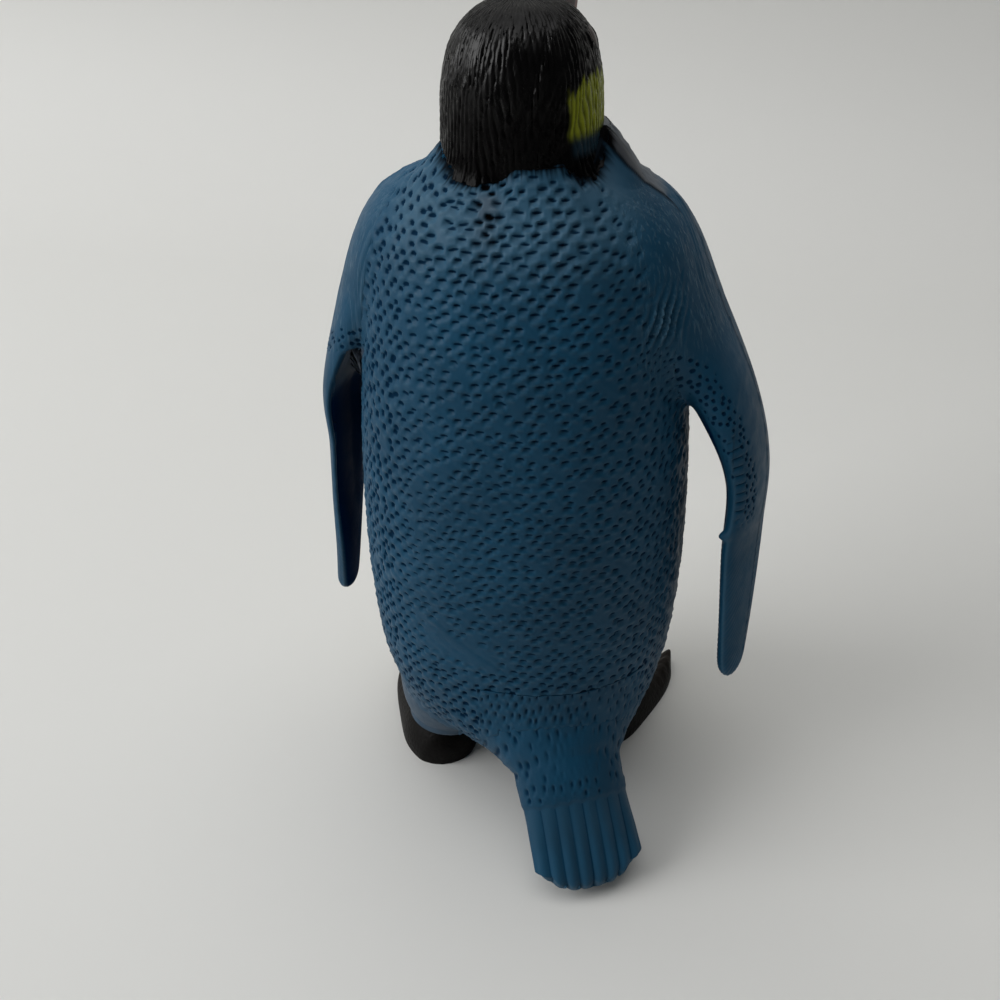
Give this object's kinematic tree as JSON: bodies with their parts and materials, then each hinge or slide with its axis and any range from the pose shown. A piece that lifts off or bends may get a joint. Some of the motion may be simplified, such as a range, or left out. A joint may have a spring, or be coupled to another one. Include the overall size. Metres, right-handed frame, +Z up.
{
  "type": "penguin figurine",
  "caption": "Hollow soft-PVC emperor-type penguin toy that stands on webbed feet, with a pitted back, a turned head, hanging flippers and a swung tail.",
  "frame": {"origin": "on the ground under the middle of the figure's box", "axes": "+Z up; the bird faces -Y, so its left side is +X"},
  "size_m": [0.0836, 0.0758, 0.1555],
  "materials": {
    "blue_pvc": "satin moulded, dull teal blue",
    "cream_pvc": "satin moulded, cream white with a black side band",
    "black_pvc": "semi-gloss black with yellow-green ear patches",
    "horn_pvc": "satin dark horn with a dull pink lower edge",
    "foot_pvc": "satin black brown"
  },
  "bodies": {
    "root": {"back_shell": "blue_pvc", "breast_shell": "cream_pvc", "head_shell": "black_pvc", "bill": "horn_pvc", "tail_piece": "blue_pvc", "left_flipper": "blue_pvc", "right_flipper": "blue_pvc", "left_leg": "blue_pvc", "right_leg": "blue_pvc", "left_foot": "foot_pvc", "right_foot": "foot_pvc"}
  },
  "joints": []
}
